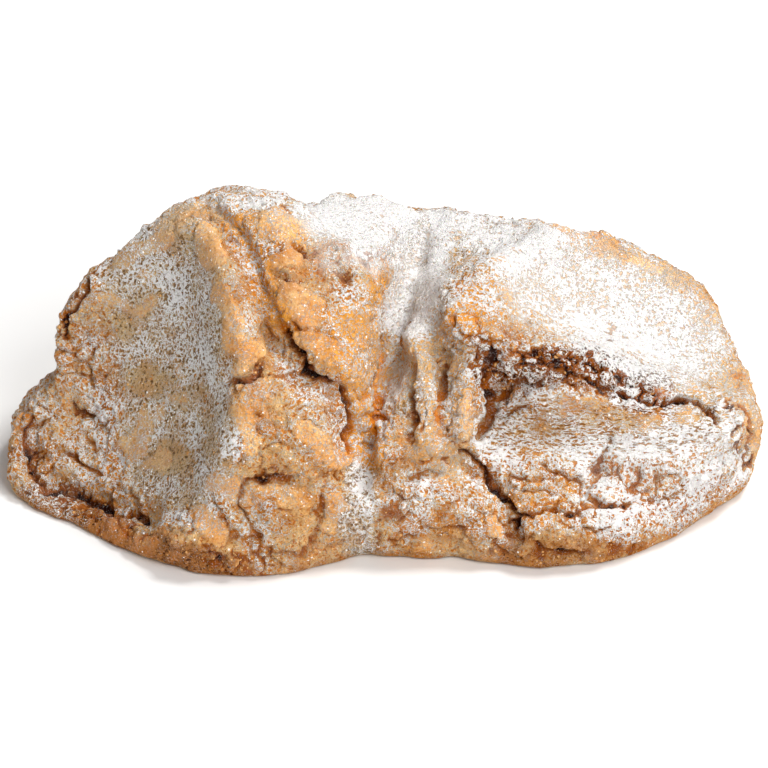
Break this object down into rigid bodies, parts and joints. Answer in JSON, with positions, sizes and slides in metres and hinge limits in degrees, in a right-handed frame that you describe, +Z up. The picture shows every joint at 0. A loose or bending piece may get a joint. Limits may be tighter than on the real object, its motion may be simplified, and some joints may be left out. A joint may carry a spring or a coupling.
{
  "type": "almond paste cookie",
  "caption": "Soft baked almond paste cookie, pinched into two cracked lobes with a cleft between them, flat underneath.",
  "frame": {"origin": "middle of the bounding box on the flat base", "axes": "+Z up, long side along X, the side with the deepest cracks faces -Y"},
  "size_m": [0.062, 0.0334, 0.0246],
  "materials": {
    "crust": "dull golden baked crust"
  },
  "bodies": {
    "root": {"cookie": "crust"}
  },
  "joints": []
}
